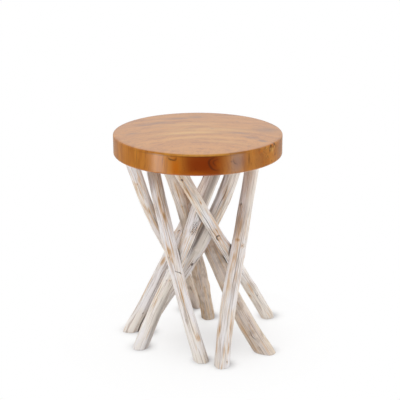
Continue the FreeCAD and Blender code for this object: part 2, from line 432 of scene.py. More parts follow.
@dataclass(frozen=True)
class PaleFloor:
    """White studio floor: it keeps the table's shadow, has more shadow painted round the feet and under
    the table, and fades to plain white away from them.
    """

    # The colour of the painted shadow.
    shade: Colour = (0.25, 0.25, 0.26, 1.0)
    near: float = 0.16
    far: float = 0.36
    haze: float = 0.93

    def material(self) -> Material:
        """Return the floor's material."""
        sheet = NodeSheet.for_finish("pale_floor")
        # The painted shadow that the floor carries darkens its colour and holds back its white glow.
        foot = sheet.attribute("foot")
        painted_shadow_colour = sheet.mix(foot, WHITE, self.shade)
        floor = sheet.dress({"Base Color": painted_shadow_colour, "Roughness": 1.0, "Specular IOR Level": 0.0})
        glow = sheet.node("ShaderNodeEmission", {"Color": WHITE, "Strength": 1.0})
        away = sheet.between(sheet.length(sheet.here()), self.near, self.far)
        clear = sheet.times(sheet.maths("SUBTRACT", 1.0, foot), self.haze)
        path = sheet.node("ShaderNodeLightPath", {}).outputs
        seen = sheet.maths("MAXIMUM", path["Is Camera Ray"], path["Is Glossy Ray"])
        seen = sheet.maths("MAXIMUM", seen, path["Is Transmission Ray"])
        share = sheet.times(sheet.maths("MAXIMUM", away, clear), seen)
        matt = sheet.nodes["Principled BSDF"].outputs[0]
        both = sheet.node("ShaderNodeMixShader", {0: share, 1: matt, 2: glow.outputs[0]})
        sheet.links.new(both.outputs[0], sheet.nodes["Material Output"].inputs["Surface"])
        return floor


def wrapped(angle: Array) -> Array:
    """Return angles brought to within half a turn of zero."""
    return (angle + math.pi) % (2 * math.pi) - math.pi


def soft_step(value: Array) -> Array:
    """Return a smooth step from 0 to 1 as the value goes from 0 to 1."""
    clipped = np.clip(value, 0.0, 1.0)
    return clipped * clipped * (3 - 2 * clipped)


def bell(*offsets: Array) -> Array:
    """Return 1 where every offset is zero, falling softly towards 0 as one of them passes 1."""
    return np.exp(-sum(offset**2 for offset in offsets))


def grained_noise(points: Array, cells: tuple) -> Array:
    """Return smooth noise from -1 to 1, one number per point, with its own cells along each axis."""
    return np.array([noise.noise(row) for row in (points * np.array(cells)).tolist()])


def points_of(mesh: Mesh) -> Array:
    """Return the places of a mesh's points, one row each."""
    flat = np.empty(len(mesh.vertices) * 3)
    mesh.vertices.foreach_get("co", flat)
    return flat.reshape(-1, 3)


def mesh_of(shape: bmesh.types.BMesh, name: str) -> Mesh:
    """Return a finished shape as a mesh, and let go of the shape."""
    mesh = bpy.data.meshes.new(name)
    shape.to_mesh(mesh)
    shape.free()
    return mesh


def carry(mesh: Mesh, name: str, values: Array) -> None:
    """Store a number for each point of a mesh, which its finish reads by name."""
    mesh.attributes.new(name, "FLOAT", "POINT").data.foreach_set("value", values)


def put(name: str, data: bpy.types.ID) -> Object:
    """Put a new object into the scene and return it."""
    made = bpy.data.objects.new(name, data)
    bpy.context.scene.collection.objects.link(made)
    return made


def stand_for(node: str, mesh: Mesh, finish: Material) -> None:
    """Let a mesh ride on the table in place of a solid.

    Args:
        node: The solid's name.
        mesh: The mesh, whose name its object takes.
        finish: Its material.
    """
    mesh.update()
    mesh.materials.append(finish)
    piece = put(mesh.name, mesh)
    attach(piece, BODY)
    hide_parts(node)
    LOG.info("%s: %d faces", piece.name, len(mesh.polygons))


@dataclass
class Skin:
    """A branch's surface as arrays: where each point lies on it, and what the point carries.

    Turn is the bearing round the branch, in radians, and down is the share of the way from the slab
    to the floor. Lift is added to the solid's own reach.
    """

    turn: Array
    down: Array
    reach: Array
    length: float
    lift: Array = field(init=False)
    dark_wood_and_painted_shade: Array = field(init=False)
    rubbed: Array = field(init=False)

    def __post_init__(self) -> None:
        """Start with the solid's own shape, with no dark wood, no painted shade and no wear."""
        self.lift, self.dark_wood_and_painted_shade, self.rubbed = (np.zeros(len(self.turn)) for _ in range(3))

    def across(self, bearing: Array | float) -> Array:
        """Return each point's distance round the branch from a bearing."""
        return wrapped(self.turn - np.radians(bearing)) * self.reach

    def along(self, down: float) -> Array:
        """Return each point's distance along the branch from a share of the way down."""
        return (self.down - down) * self.length

    def darken(self, share: Array) -> None:
        """Let dark wood and painted shade show by a share, where they aren't as dark already."""
        self.dark_wood_and_painted_shade = np.maximum(self.dark_wood_and_painted_shade, share)


class Mark:
    """Something that growth, drying or wear left on a branch."""

    def work(self, skin: Skin) -> None:
        """Work the mark into a branch.

        Args:
            skin: The branch's surface, which the mark changes.
        """
        raise NotImplementedError


@dataclass(frozen=True)
class CleftAndShade(Mark):
    """A drying split or groove along the grain, from one share of the way down to another; a wide, shallow
    one is painted shade.
    """

    start: float
    end: float
    turn: float
    drift: float
    width: float
    depth: float
    dark: float
    wander: float = 4.0
    waves: float = 9.0

    def work(self, skin: Skin) -> None:
        """Cut the groove and darken it; a wide, shallow one darkens as painted shade."""
        inside = np.clip((skin.down - self.start) / (self.end - self.start), 0.0, 1.0)
        wander = self.wander * np.sin(self.waves * inside + self.turn)
        across = skin.across(self.turn + self.drift * inside + wander)
        taper = np.sqrt(np.clip(np.sin(math.pi * inside), 0.0, 1.0))
        shape = bell(across / self.width) * taper
        skin.lift -= self.depth * shape
        skin.darken(self.dark * shape)


@dataclass(frozen=True)
class Rub(Mark):
    """A streak where the wash is rubbed through to tan wood or, by a share below zero, lies thick; some
    thick streaks are painted light on shaded sides.
    """

    down: float
    turn: float
    width: float
    length: float
    share: float

    def work(self, skin: Skin) -> None:
        """Rub the streak."""
        across, along = skin.across(self.turn), skin.along(self.down)
        skin.rubbed += self.share * bell(across / self.width, along / self.length)


@dataclass(frozen=True)
class Knot(Mark):
    """What a branch keeps where a twig grew, measured in shares of its size."""

    down: float
    turn: float
    size: float
    dark: float = 0.9

    def offsets(self, skin: Skin) -> tuple[Array, Array]:
        """Return each point's distance from the knot, round the branch and along it."""
        return skin.across(self.turn) / self.size, skin.along(self.down) / self.size


@dataclass(frozen=True)
class Burl(Knot):
    """A swelling."""

    length: float = 1.3
    rise: float = 0.16

    def work(self, skin: Skin) -> None:
        """Raise the swelling."""
        across, along = self.offsets(skin)
        skin.lift += self.rise * self.size * bell(across, along / self.length)


@dataclass(frozen=True)
class Bark(Knot):
    """A scrap of bark, cracked into rough cells. Its relief is in metres."""

    length: float = 2.4
    columns: float = 9.0
    rows: float = 6.0
    bend: float = 3.0
    bends: float = 4.0
    slant: float = 2.0
    relief: float = 0.0007
    least: float = 0.35

    def work(self, skin: Skin) -> None:
        """Roughen the scrap and darken it, most of all in its cracks."""
        across, along = self.offsets(skin)
        patch = np.exp(-(across**4) - (along / self.length) ** 4)
        cells = np.sin(self.columns * across + self.bend * np.sin(self.bends * along))
        cells *= np.sin(self.rows * along + self.slant * across)
        skin.lift += self.relief * patch * cells
        skin.darken(self.dark * patch * np.maximum(self.least, soft_step(self.least - cells)))


@dataclass(frozen=True)
class Hole(Knot):
    """A hollow knot with a raised lip, rubbed round about."""

    length: float = 1.35
    core_size: float = 0.55
    core_rise: float = -0.42
    lip_width: float = 0.32
    lip_rise: float = 0.16
    rub: float = 0.45
    rub_size: float = 1.6

    def work(self, skin: Skin) -> None:
        """Shape the knot, darken it and rub the wash off it."""
        across, along = self.offsets(skin)
        away = np.hypot(across, along / self.length)
        core = bell(away / self.core_size)
        lip = bell((away - 1) / self.lip_width)
        skin.lift += self.size * (self.lip_rise * lip + self.core_rise * core)
        skin.darken(self.dark * self.shade(core, lip, across, along))
        skin.rubbed += self.rub * bell(away / self.rub_size)

    def shade(self, core: Array, lip: Array, across: Array, along: Array) -> Array:
        """Return how dark each point is: a hole is dark inside."""
        return core


@dataclass(frozen=True)
class Scar(Hole):
    """A healed knot: a low bump in a sunken ring."""

    core_rise: float = 0.14
    lip_rise: float = -0.1
    shade_middle: float = 0.6
    shade_left: float = 0.45
    shade_up: float = 0.35

    def shade(self, core: Array, lip: Array, across: Array, along: Array) -> Array:
        """Return how dark each point is: a scar's ring is darkest at its upper left."""
        return lip * soft_step(self.shade_middle - self.shade_left * across - self.shade_up * along)


@dataclass(frozen=True)
class Strays:
    """The small marks that every branch has: how many of each kind, and the ranges of their sizes.

    Each tuple has its ranges in the order of the draws. A split's are start, run, width, bearing,
    drift, depth and darkness; a rub's and a knot's are those of its fields.
    """

    clefts: int = 9
    cleft_ranges: tuple = (
        (0.0, 0.8), (0.08, 0.3), (0.0007, 0.0012), (-180, 180), (-20, 20), (0.0006, 0.0013), (0.25, 0.6)
    )
    rubs: int = 9
    rub_ranges: tuple = ((0.05, 0.98), (-180, 180), (0.0012, 0.003), (0.008, 0.04), (0.4, 0.9))
    knots: int = 2
    knot_ranges: tuple = ((0.1, 0.9), (90, 270), (0.003, 0.006))

    def scatter(self, seed: int) -> list[Mark]:
        """Draw the small marks of one branch.

        Args:
            seed: The branch's own number.

        Returns:
            Its clefts, rubs and knots.
        """
        dice = random.Random(seed)
        found: list[Mark] = []
        for _ in range(self.clefts):
            drawn = (dice.uniform(*span) for span in self.cleft_ranges)
            start, run, width, turn, drift, depth, dark = drawn
            found.append(CleftAndShade(start, start + run, turn, drift, width, depth, dark))
        for _ in range(self.rubs):
            found.append(Rub(*(dice.uniform(*span) for span in self.rub_ranges)))
        for _ in range(self.knots):
            kind = dice.choice((Hole, Scar))
            found.append(kind(*(dice.uniform(*span) for span in self.knot_ranges)))
        return found


class Branch:
    """A leg's solid, read for its middle line and outer surface. Far out and beside are in half widths."""

    slices: int = 33
    directions: int = 16
    line_degree: int = 7
    half_degree: int = 3
    margin: float = 0.0004
    far_out: float = 3.0
    beside: float = 2.0

    def __init__(self, node: str, solid: Object) -> None:
        """Read the middle line and a search tree.

        Args:
            node: The leg's name.
            solid: Its solid.
        """
        low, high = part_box(node)
        self.floor, self.top = low.z, high.z
        mesh = solid.data
        points = points_of(mesh)
        edges = np.empty(len(mesh.edges) * 2, dtype=np.int32)
        mesh.edges.foreach_get("vertices", edges)
        ends = points[edges.reshape(-1, 2)]
        self.tree = BVHTree.FromPolygons(points.tolist(), [tuple(p.vertices) for p in mesh.polygons])
        heights = np.linspace(self.floor + self.margin, self.top - self.margin, self.slices)
        x, y, half = zip(*(self.middle(ends, height) for height in heights))
        fit = np.polynomial.Polynomial.fit
        self.line_x = fit(heights, x, self.line_degree)
        self.line_y = fit(heights, y, self.line_degree)
        self.half = fit(heights, half, self.half_degree)
        self.foot = (float(self.line_x(self.floor)), float(self.line_y(self.floor)))

    def middle(self, ends: Array, height: float) -> tuple[float, float, float]:
        """Find the middle of a level section.

        Args:
            ends: Both ends of each of the solid's edges.
            height: The section's height.

        Returns:
            The middle's X and Y, and half of the section's median width.
        """
        low, high = ends[:, 0], ends[:, 1]
        rise = high[:, 2] - low[:, 2]
        rise[rise == 0] = TINY
        share = (height - low[:, 2]) / rise
        crossing = (share >= 0) & (share <= 1)
        section = (low + (high - low) * share[:, None])[crossing]
        centre = np.zeros(2)
        widths = []
        for k in range(self.directions):
            bearing = math.pi * k / self.directions
            direction = np.array([math.cos(bearing), math.sin(bearing)])
            spread = section[:, :2] @ direction
            centre += direction * (spread.max() + spread.min()) / self.directions
            widths.append(spread.max() - spread.min())
        return centre[0], centre[1], float(np.median(widths)) / 2

    def surface(self, height: float, turns: Array, deepest: float) -> Array:
        """Measure the solid's outer surface round one level section.

        Args:
            height: The section's height.
            turns: Bearings round the middle line, in radians.
            deepest: How far a seat may cut into the branch, past which lies a peg's hole.

        Returns:
            The distance from the middle line at each bearing.
        """
        level = min(max(height, self.floor + self.margin), self.top - self.margin)
        centre = Vector((self.line_x(level), self.line_y(level), level))
        half = self.half(level)
        reaches = []
        for turn in turns:
            outward = Vector((math.sin(turn), -math.cos(turn), 0.0))
            hit = self.tree.ray_cast(centre + outward * (self.far_out * half), -outward)[0]
            reach = half if hit is None else (hit - centre).dot(outward)
            reaches.append(max(reach, half - deepest))
        return np.array(reaches)

    def gap(self, points: Array, limit: float) -> Array:
        """Measure how near points come to the branch.

        Args:
            points: Places, one row each.
            limit: The longest distance that is looked for.

        Returns:
            The distance of each point, or the limit where it is farther away.
        """
        height = points[:, 2]
        off = np.hypot(points[:, 0] - self.line_x(height), points[:, 1] - self.line_y(height))
        gaps = np.full(len(points), limit)
        for k in np.flatnonzero(off < self.beside * self.half(height)):
            found = self.tree.find_nearest(points[k], limit)[3]
            if found is not None:
                gaps[k] = found
        return gaps


@dataclass
class BranchLeg:
    """One whitewashed branch leg: its solid's shape, with bark relief, clefts, knots and wear.

    Bareness is the share of bare wood at the top and at the foot. Lump, ridge and flute are each a
    height and the cells of its noise. Past a swell, in half widths, the wash is rubbed off.
    """

    node: str
    seed: int
    bareness: tuple = (0.0, 0.0)
    marks: tuple = ()
    strays: Strays = Strays()
    sides: int = 128
    rings: int = 420
    crowding: float = 0.35
    level_digits: int = 7
    edge_round: float = 0.0025
    seat_depth: float = 0.006
    lump: tuple = (0.0009, (42.0, 42.0, 16.0))
    ridge: tuple = (0.0006, (95.0, 95.0, 5.0))
    flute: tuple = (0.0005, (210.0, 210.0, 9.0))
    grain_step: float = 1.7
    swell: float = 1.12
    swell_soft: float = 0.002
    swell_rub: float = 0.5
    # Shade painted into the crevices near other legs: its darkness and its reach.
    crevice_shade: float = 0.85
    crevice_shade_reach: float = 0.0065
    cap_insets: tuple = (0.04, 0.12, 0.25, 0.3)

    def stick(self) -> Mesh:
        """Return a straight stick of unit radius and length, with rings along it and closed ends."""
        shape = bmesh.new()
        bmesh.ops.create_cone(shape, cap_ends=True, segments=self.sides, radius1=1, radius2=1, depth=1)
        rails = [e for e in shape.edges if abs(e.verts[0].co.z - e.verts[1].co.z) > 0.5]
        bmesh.ops.subdivide_edges(shape, edges=rails, cuts=self.rings - 1, use_grid_fill=True)
        caps = [f for f in shape.faces if len(f.verts) > 4]
        for cap in caps:
            for inset in self.cap_insets:
                bmesh.ops.inset_region(shape, faces=[cap], thickness=inset, use_even_offset=True)
        bmesh.ops.poke(shape, faces=caps)
        for face in shape.faces:
            face.smooth = abs(face.normal.z) < 0.5
        return mesh_of(shape, self.node + "_branch")

    def build(self, branch: Branch, others: list[Branch], finish: Material) -> None:
        """Make the branch round its solid, riding on the table.

        Args:
            branch: The leg's solid, which the branch stands for.
            others: The other legs' solids, near which shade is painted into the crevices.
            finish: The branch's material.
        """
        mesh = self.stick()
        unit = points_of(mesh)
        down = 0.5 - unit[:, 2]
        down = down - self.crowding * np.sin(2 * math.pi * down) / (2 * math.pi)
        span = branch.top - branch.floor
        height = branch.top - span * down
        turn = np.arctan2(unit[:, 0], -unit[:, 1])
        share_out = np.minimum(np.hypot(unit[:, 0], unit[:, 1]), 1.0)

        centre = np.column_stack([branch.line_x(height), branch.line_y(height), height])
        lean_x, lean_y = branch.line_x.deriv()(height), branch.line_y.deriv()(height)
        slope = np.column_stack([lean_x, lean_y, np.ones(len(height))])
        steepness = np.linalg.norm(slope, axis=1)
        along = -slope / steepness[:, None]
        length = span * float(steepness.mean())
        reach = self.read_surface(branch, height, turn)

        outward = np.column_stack([np.sin(turn), -np.cos(turn), np.zeros(len(turn))])
        offset = outward * (reach * share_out)[:, None]
        deep = np.einsum("ij,ij->i", offset, along)
        square = offset - along * deep[:, None]
        grain = np.column_stack([square[:, 0], square[:, 1], length * down + deep])
        grain[:, 2] += self.grain_step * self.seed

        skin = Skin(turn, down + deep / length, reach, length)
        for rise, cells in (self.lump, self.ridge, self.flute):
            skin.lift += rise * grained_noise(grain, cells)
        for mark in (*self.marks, *self.strays.scatter(self.seed)):
            mark.work(skin)
        swollen = (reach - branch.half(height) * self.swell) / self.swell_soft
        skin.rubbed += self.swell_rub * soft_step(swollen)

        from_end = np.minimum(height - branch.floor, branch.top - height)
        corner = 1 - np.clip(from_end / self.edge_round, 0.0, 1.0)
        rounding = self.edge_round * (1 - np.sqrt(1 - corner**2))
        place = centre + outward * ((reach + skin.lift - rounding) * share_out)[:, None]
        # Painted shade: darken every point that lies close to another leg.
        for other in others:
            near = 1 - other.gap(place, self.crevice_shade_reach) / self.crevice_shade_reach
            skin.darken(self.crevice_shade * soft_step(near))
        mesh.vertices.foreach_set("co", place.ravel())
        self.hand_over(mesh, grain, skin)
        stand_for(self.node, mesh, finish)

    def read_surface(self, branch: Branch, height: Array, turn: Array) -> Array:
        """Read the solid's reach, section by section.

        Args:
            branch: The leg's solid.
            height: Each point's height.
            turn: Each point's bearing, in radians.

        Returns:
            Each point's distance from the middle line.
        """
        reach = np.empty(len(height))
        levels = np.round(height, self.level_digits)
        order = np.argsort(levels, kind="stable")
        cuts = np.flatnonzero(np.diff(levels[order])) + 1
        for group in np.split(order, cuts):
            reach[group] = branch.surface(float(height[group[0]]), turn[group], self.seat_depth)
        return reach

    def hand_over(self, mesh: Mesh, grain: Array, skin: Skin) -> None:
        """Store on the mesh what the finish reads.

        Args:
            mesh: The branch's mesh.
            grain: Each point's place on the straightened branch.
            skin: The branch's surface, with its dark wood, painted shade and wear.
        """
        mesh.attributes.new("grain", "FLOAT_VECTOR", "POINT").data.foreach_set("vector", grain.ravel())
        top, foot = self.bareness
        bare = top + (foot - top) * np.clip(skin.down, 0.0, 1.0)
        for name, values in (("dark_wood_and_painted_shade", skin.dark_wood_and_painted_shade), ("rubbed", skin.rubbed), ("bare", bare)):
            carry(mesh, name, values)


@dataclass(frozen=True)
class Round:
    """The slab's size and place, as its figure needs them."""

    radius: float
    low: float
    high: float
    eased: float = 0.003

    def rim_distance(self, place: Array, bearing: float) -> Array:
        """Return each point's distance round the rim from a bearing."""
        turn = np.arctan2(place[:, 0], -place[:, 1])
        return wrapped(turn - math.radians(bearing)) * self.radius

    def rise(self, place: Array, up: float) -> Array:
        """Return each point's height above a share of the slab's thickness."""
        return place[:, 2] - (self.low + up * (self.high - self.low))

    def on_rim(self, place: Array, depth: float = 0.012) -> Array:
        """Return 1 on the rim, fading to 0 at a depth inside it."""
        out = np.hypot(place[:, 0], place[:, 1])
        return soft_step((out - self.radius + depth) / depth)

    def on_top(self, place: Array) -> Array:
        """Return 1 on the top and 0 below its eased edge."""
        return soft_step((place[:, 2] - self.high + self.eased) / self.eased)


class Figure:
    """A part of the slab's figure, of one kind, with a share of its colour and a depth in the wood."""

    pit: float = 0.0

    def mask(self, place: Array, slab: Round) -> Array:
        """Find where the figure lies.

        Args:
            place: Points of the slab, one row each.
            slab: The slab's size and place.

        Returns:
            How strongly each point lies in the figure, from 0 to 1.
        """
        raise NotImplementedError


@dataclass(frozen=True)
class RimPatch(Figure):
    """A soft patch on the rim, at a bearing and a share of the height, that ends at its crest's share."""

    kind: FigureKind
    bearing: float
    up: float
    around: float
    tall: float
    share: float
    pit: float = 0.0
    edge: int = 2
    crest: float = 2.0
    crest_soft: float = 0.002

    def mask(self, place: Array, slab: Round) -> Array:
        """Return how strongly each point lies in the patch."""
        across = slab.rim_distance(place, self.bearing) / self.around
        rise = slab.rise(place, self.up) / self.tall
        below = soft_step(-slab.rise(place, self.crest) / self.crest_soft)
        return np.exp(-(across**self.edge) - rise**2) * slab.on_rim(place) * below


@dataclass(frozen=True)
class RimArc(Figure):
    """A dark line of grain that bends round the eye of a knot in the rim.

    The line follows an uneven oval and runs for a span of degrees each way from its middle, which
    is an angle on the rim's face: 0 to the right, 90 up.
    """

    bearing: float
    up: float
    wide: float
    tall: float
    middle: float
    span: float
    line: float
    share: float
    pit: float = 0.0002
    kind: FigureKind = KNOT
    sways: int = 2
    sway: float = 0.09
    ripples: int = 5
    ripple: float = 0.04

    def mask(self, place: Array, slab: Round) -> Array:
        """Return how strongly each point lies on the line."""
        across = slab.rim_distance(place, self.bearing) / self.wide
        rise = slab.rise(place, self.up) / self.tall
        turn = np.arctan2(rise, across)
        uneven = self.sway * np.sin(self.sways * turn + self.bearing)
        uneven += self.ripple * np.sin(self.ripples * turn)
        off = (np.hypot(across, rise) - 1 - uneven) * min(self.wide, self.tall) / self.line
        inside = wrapped(turn - math.radians(self.middle)) / math.radians(self.span)
        return np.exp(-(off**2) - inside**4) * slab.on_rim(place)


@dataclass(frozen=True)
class TopStreak(Figure):
    """A streak on the top, along the growth rings round the pith."""

    kind: FigureKind
    x: float
    y: float
    long: float
    wide: float
    share: float

    def mask(self, place: Array, slab: Round) -> Array:
        """Return how strongly each point lies in the streak."""
        start = np.array([self.x - PITH[0], self.y - PITH[1]])
        flat = place[:, :2] - np.array(PITH)
        ring = float(np.hypot(*start))
        off_ring = np.hypot(flat[:, 0], flat[:, 1]) - ring
        along = wrapped(np.arctan2(flat[:, 0], flat[:, 1]) - math.atan2(start[0], start[1])) * ring
        return bell(along / self.long, off_ring / self.wide) * slab.on_top(place)


@dataclass
class Slab:
    """The round teak top, with eased edges and a rim that was finished by hand."""

    figures: tuple
    node: str = "slab"
    sides: int = 1024
    rim_rows: int = 32
    edge_round: float = 0.004
    round_steps: int = 5
    top_step: float = 0.007
    low_step: float = 0.02
    eye: float = 0.012
    level_play: float = 1e-6
    waver: float = 0.0008
    waver_cells: tuple = (9.0, 9.0, 12.0)
    waver_inward: float = 0.6
    waver_depth: float = 0.03

    def blank(self, slab: Round) -> Mesh:
        """Turn the slab in its place.

        Args:
            slab: The slab's size and place.

        Returns:
            The slab's closed mesh, with rings across both faces.
        """
        shape = bmesh.new()
        thick = slab.high - slab.low
        ends = {"radius1": slab.radius, "radius2": slab.radius}
        bmesh.ops.create_cone(shape, cap_ends=True, segments=self.sides, depth=thick, **ends)
        bmesh.ops.translate(shape, verts=shape.verts, vec=(0, 0, (slab.low + slab.high) / 2))
        for level in (slab.high, slab.low):
            near = {v for v in shape.verts if abs(v.co.z - level) < self.level_play}
            loop = [e for e in shape.edges if near.issuperset(e.verts)]
            bmesh.ops.bevel(
                shape, geom=loop, offset=self.edge_round, affect="EDGES",
                segments=self.round_steps, profile=0.5, material=-1,
            )
        rails = [e for e in shape.edges if abs(e.verts[0].co.z - e.verts[1].co.z) > thick / 2]
        bmesh.ops.subdivide_edges(shape, edges=rails, cuts=self.rim_rows - 1, use_grid_fill=True)
        caps = [f for f in shape.faces if len(f.verts) > 4]
        for cap in caps:
            step = self.top_step if cap.normal.z > 0 else self.low_step
            for _ in range(int((slab.radius - self.edge_round - self.eye) / step)):
                bmesh.ops.inset_region(shape, faces=[cap], thickness=step, use_even_offset=True)
        bmesh.ops.poke(shape, faces=caps)
        for face in shape.faces:
            face.smooth = True
        return mesh_of(shape, "teak_slab")

    def build(self, finish: Material) -> None:
        """Make the slab, with its figure and a slightly wavering rim, riding on the table.

        Args:
            finish: The slab's material.
        """
        low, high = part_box(self.node)
        slab = Round((high.x - low.x) / 2, low.z, high.z)
        mesh = self.blank(slab)
        place = points_of(mesh)
        shares = {kind: np.zeros(len(place)) for kind in FigureKind}
        sunk = np.zeros(len(place))
        for figure in self.figures:
            mask = figure.mask(place, slab)
            shares[figure.kind] = np.maximum(shares[figure.kind], figure.share * mask)
            sunk += figure.pit * mask
        out = np.hypot(place[:, 0], place[:, 1])
        outward = place / np.maximum(out, TINY)[:, None]
        outward[:, 2] = 0.0
        waver = self.waver * (grained_noise(place, self.waver_cells) - self.waver_inward)
        waver *= slab.on_rim(place, self.waver_depth)
        on_edge = out > slab.radius - self.edge_round / 2
        place = place + outward * (waver - np.where(on_edge, sunk, 0.0))[:, None]
        place[:, 2] -= np.where(on_edge, 0.0, sunk)
        mesh.vertices.foreach_set("co", place.ravel())
        for kind, values in shares.items():
            carry(mesh, kind.value, values)
        stand_for(self.node, mesh, finish)


@dataclass(frozen=True)
class SoftLamp:
    """A soft studio lamp with a rectangular face that points at the table.

    The face of a lamp that isn't mirrored shows in no gloss.
    """

    name: str
    place: tuple
    width: float
    height: float
    power: float
    mirrored: bool = True

    def build(self, aim: tuple) -> None:
        """Hang the lamp.

        Args:
            aim: The place that it points at.
        """
        light = bpy.data.lights.new(self.name, "AREA")
        light.shape = "RECTANGLE"
        light.size = self.width
        light.size_y = self.height
        light.energy = self.power
        lamp = put(self.name, light)
        lamp.location = self.place
        lamp.rotation_euler = (Vector(aim) - Vector(self.place)).to_track_quat("-Z", "Y").to_euler()
        lamp.visible_camera = False
        lamp.visible_glossy = self.mirrored


@dataclass
class Studio:
    """The plain floor, the soft lamps, the pale room and the camera.

    Under is the shadow painted on the floor below the table: its X and Y, its reach and its share. A
    wall is the range of directions over which the room goes from dim to white.
    """

    feet: tuple
    floor_half: float = 0.95
    floor_cells: int = 160
    # The shadow painted round each foot: its reach and its shift from the foot.
    shadow_reach: float = 0.028
    shadow_shift: tuple = (0.004, 0.008)
    under: tuple = (0.05, -0.03, 0.14, 0.44)
    aim: tuple = (0.0, 0.0, 0.4)
    lamps: tuple = (
        SoftLamp("left_lamp", (-1.73, -1.35, 0.0), 0.62, 1.2, 12.0),
        SoftLamp("upper_left_lamp", (-1.73, -1.35, 1.0), 0.62, 0.8, 8.0, mirrored=False),
        SoftLamp("right_lamp", (1.73, -1.35, 0.0), 0.62, 1.2, 6.6),
        SoftLamp("upper_right_lamp", (1.73, -1.35, 1.0), 0.62, 0.8, 4.4, mirrored=False),
        SoftLamp("side_lamp", (2.1, -0.35, 0.5), 0.8, 1.6, 8.0, mirrored=False),
        SoftLamp("front_lamp", (0.0, -1.3, 2.3), 1.6, 1.2, 14.0, mirrored=False),
        SoftLamp("camera_lamp", (0.0, -2.3, 1.25), 1.4, 1.0, 10.0, mirrored=False),
        SoftLamp("top_lamp", (0.0, 0.4, 2.2), 1.6, 1.6, 2.0, mirrored=False),
    )
    fill_wall: tuple = (-0.35, 0.4)
    front_fill: float = 0.05
    back_fill: float = 1.2
    gloss_wall: tuple = (0.05, 0.9)
    gloss_height: tuple = (-0.15, 0.2)
    front_gloss: float = 0.02
    low_gloss: float = 0.4
    camera_place: tuple = (0.00517, -2.6, 1.1899)
    camera_tilt: float = 72.14
    lens: float = 102.45
    sensor: float = 36.0

    def build(self) -> None:
        """Lay the floor, light it and set up the camera."""
        self.floor()
        self.world()
        for lamp in self.lamps:
            lamp.build(self.aim)
        self.camera()

    def floor(self) -> None:
        """Lay a square floor that isn't part of the table, with a shadow painted round each foot and under
        the table.
        """
        shape = bmesh.new()
        cells = self.floor_cells
        bmesh.ops.create_grid(shape, x_segments=cells, y_segments=cells, size=self.floor_half)
        mesh = mesh_of(shape, "studio_floor")
        place = points_of(mesh)[:, :2]
        # Paint a broad shadow under the table and a dark one round each foot, which the floor's colour
        # follows.
        x, y, reach, share = self.under
        painted_shadow = share * bell(np.hypot(place[:, 0] - x, place[:, 1] - y) / reach)
        for foot in self.feet:
            far = np.hypot(*(place - np.array(foot) - np.array(self.shadow_shift)).T)
            painted_shadow = np.maximum(painted_shadow, bell(far / self.shadow_reach))
        carry(mesh, "foot", painted_shadow)
        mesh.materials.append(PaleFloor().material())
        put("studio_floor", mesh)

    def world(self) -> None:
        """Show plain white behind the table, and leave the room behind the camera dim."""
        sheet = NodeSheet(bpy.data.worlds.new("pale_room"))
        path = sheet.node("ShaderNodeLightPath", {}).outputs
        _, away, up = sheet.parts(sheet.node("ShaderNodeTexCoord", {}).outputs["Generated"])
        fill = sheet.part_way(sheet.between(away, *self.fill_wall), self.front_fill, self.back_fill)
        upper = sheet.part_way(sheet.between(up, *self.gloss_height), self.low_gloss, 1.0)
        wall = sheet.times(sheet.between(away, *self.gloss_wall), upper)
        gloss = sheet.part_way(wall, self.front_gloss, 1.0)
        light = sheet.part_way(path["Is Glossy Ray"], fill, gloss)
        seen = sheet.maths("MAXIMUM", path["Is Camera Ray"], path["Is Transmission Ray"])
        backdrop = sheet.nodes["Background"]
        sheet.feed(backdrop.inputs["Color"], WHITE)
        sheet.feed(backdrop.inputs["Strength"], sheet.part_way(seen, light, 1.0))
        bpy.context.scene.world = sheet.owner
        bpy.context.scene.view_settings.view_transform = "Standard"

    def camera(self) -> None:
        """Stand the camera where the photograph was taken from."""
        data = bpy.data.cameras.new("photo_camera")
        data.lens = self.lens
        data.sensor_width = self.sensor
        camera = put("photo_camera", data)
        camera.location = self.camera_place
        camera.rotation_euler = (math.radians(self.camera_tilt), 0.0, 0.0)
        bpy.context.scene.camera = camera


